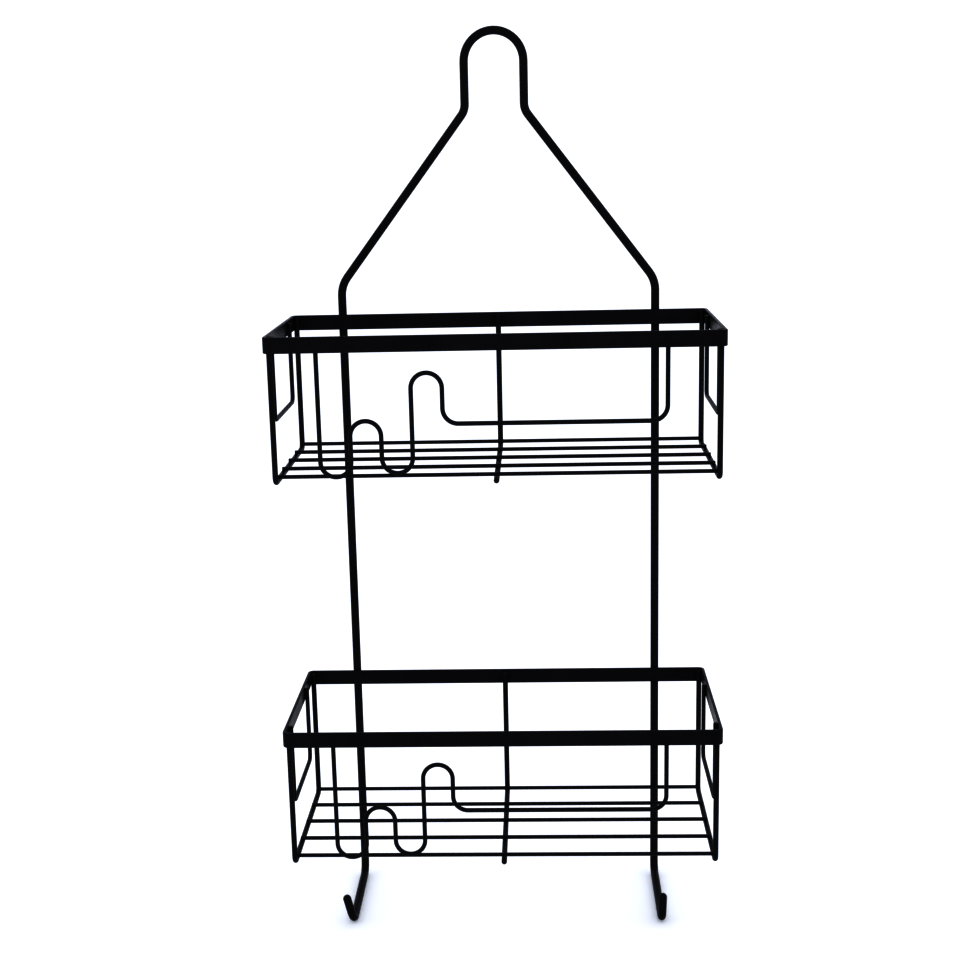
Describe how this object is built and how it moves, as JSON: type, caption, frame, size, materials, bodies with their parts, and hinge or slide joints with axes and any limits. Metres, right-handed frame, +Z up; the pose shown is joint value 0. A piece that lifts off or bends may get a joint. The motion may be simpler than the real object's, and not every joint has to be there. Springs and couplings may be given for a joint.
{
  "type": "shower caddy",
  "caption": "Hanging bent-wire shower caddy: open wire baskets with flat rims on a frame with a hanging loop on top and upturned hooks below.",
  "frame": {"origin": "inside of the hanging loop's crown, on the frame wire's centre plane", "axes": "+Z up along the uprights, +Y towards the wall behind, +X along the baskets to the right as seen from the front"},
  "size_m": [0.28, 0.1254, 0.5967],
  "materials": {
    "powder_coat": "satin black powder coat"
  },
  "bodies": {
    "root": {"frame_wire": "powder_coat", "upper_rim": "powder_coat", "upper_left_hoop": "powder_coat", "upper_right_hoop": "powder_coat", "upper_centre_wire": "powder_coat", "upper_floor_wire_1": "powder_coat", "upper_floor_wire_2": "powder_coat", "upper_floor_wire_3": "powder_coat", "upper_floor_wire_4": "powder_coat", "upper_floor_wire_5": "powder_coat", "upper_left_guard": "powder_coat", "upper_right_guard": "powder_coat", "upper_front_wave": "powder_coat", "lower_rim": "powder_coat", "lower_left_hoop": "powder_coat", "lower_right_hoop": "powder_coat", "lower_centre_wire": "powder_coat", "lower_floor_wire_1": "powder_coat", "lower_floor_wire_2": "powder_coat", "lower_floor_wire_3": "powder_coat", "lower_floor_wire_4": "powder_coat", "lower_floor_wire_5": "powder_coat", "lower_left_guard": "powder_coat", "lower_right_guard": "powder_coat", "lower_front_wave": "powder_coat"}
  },
  "joints": []
}
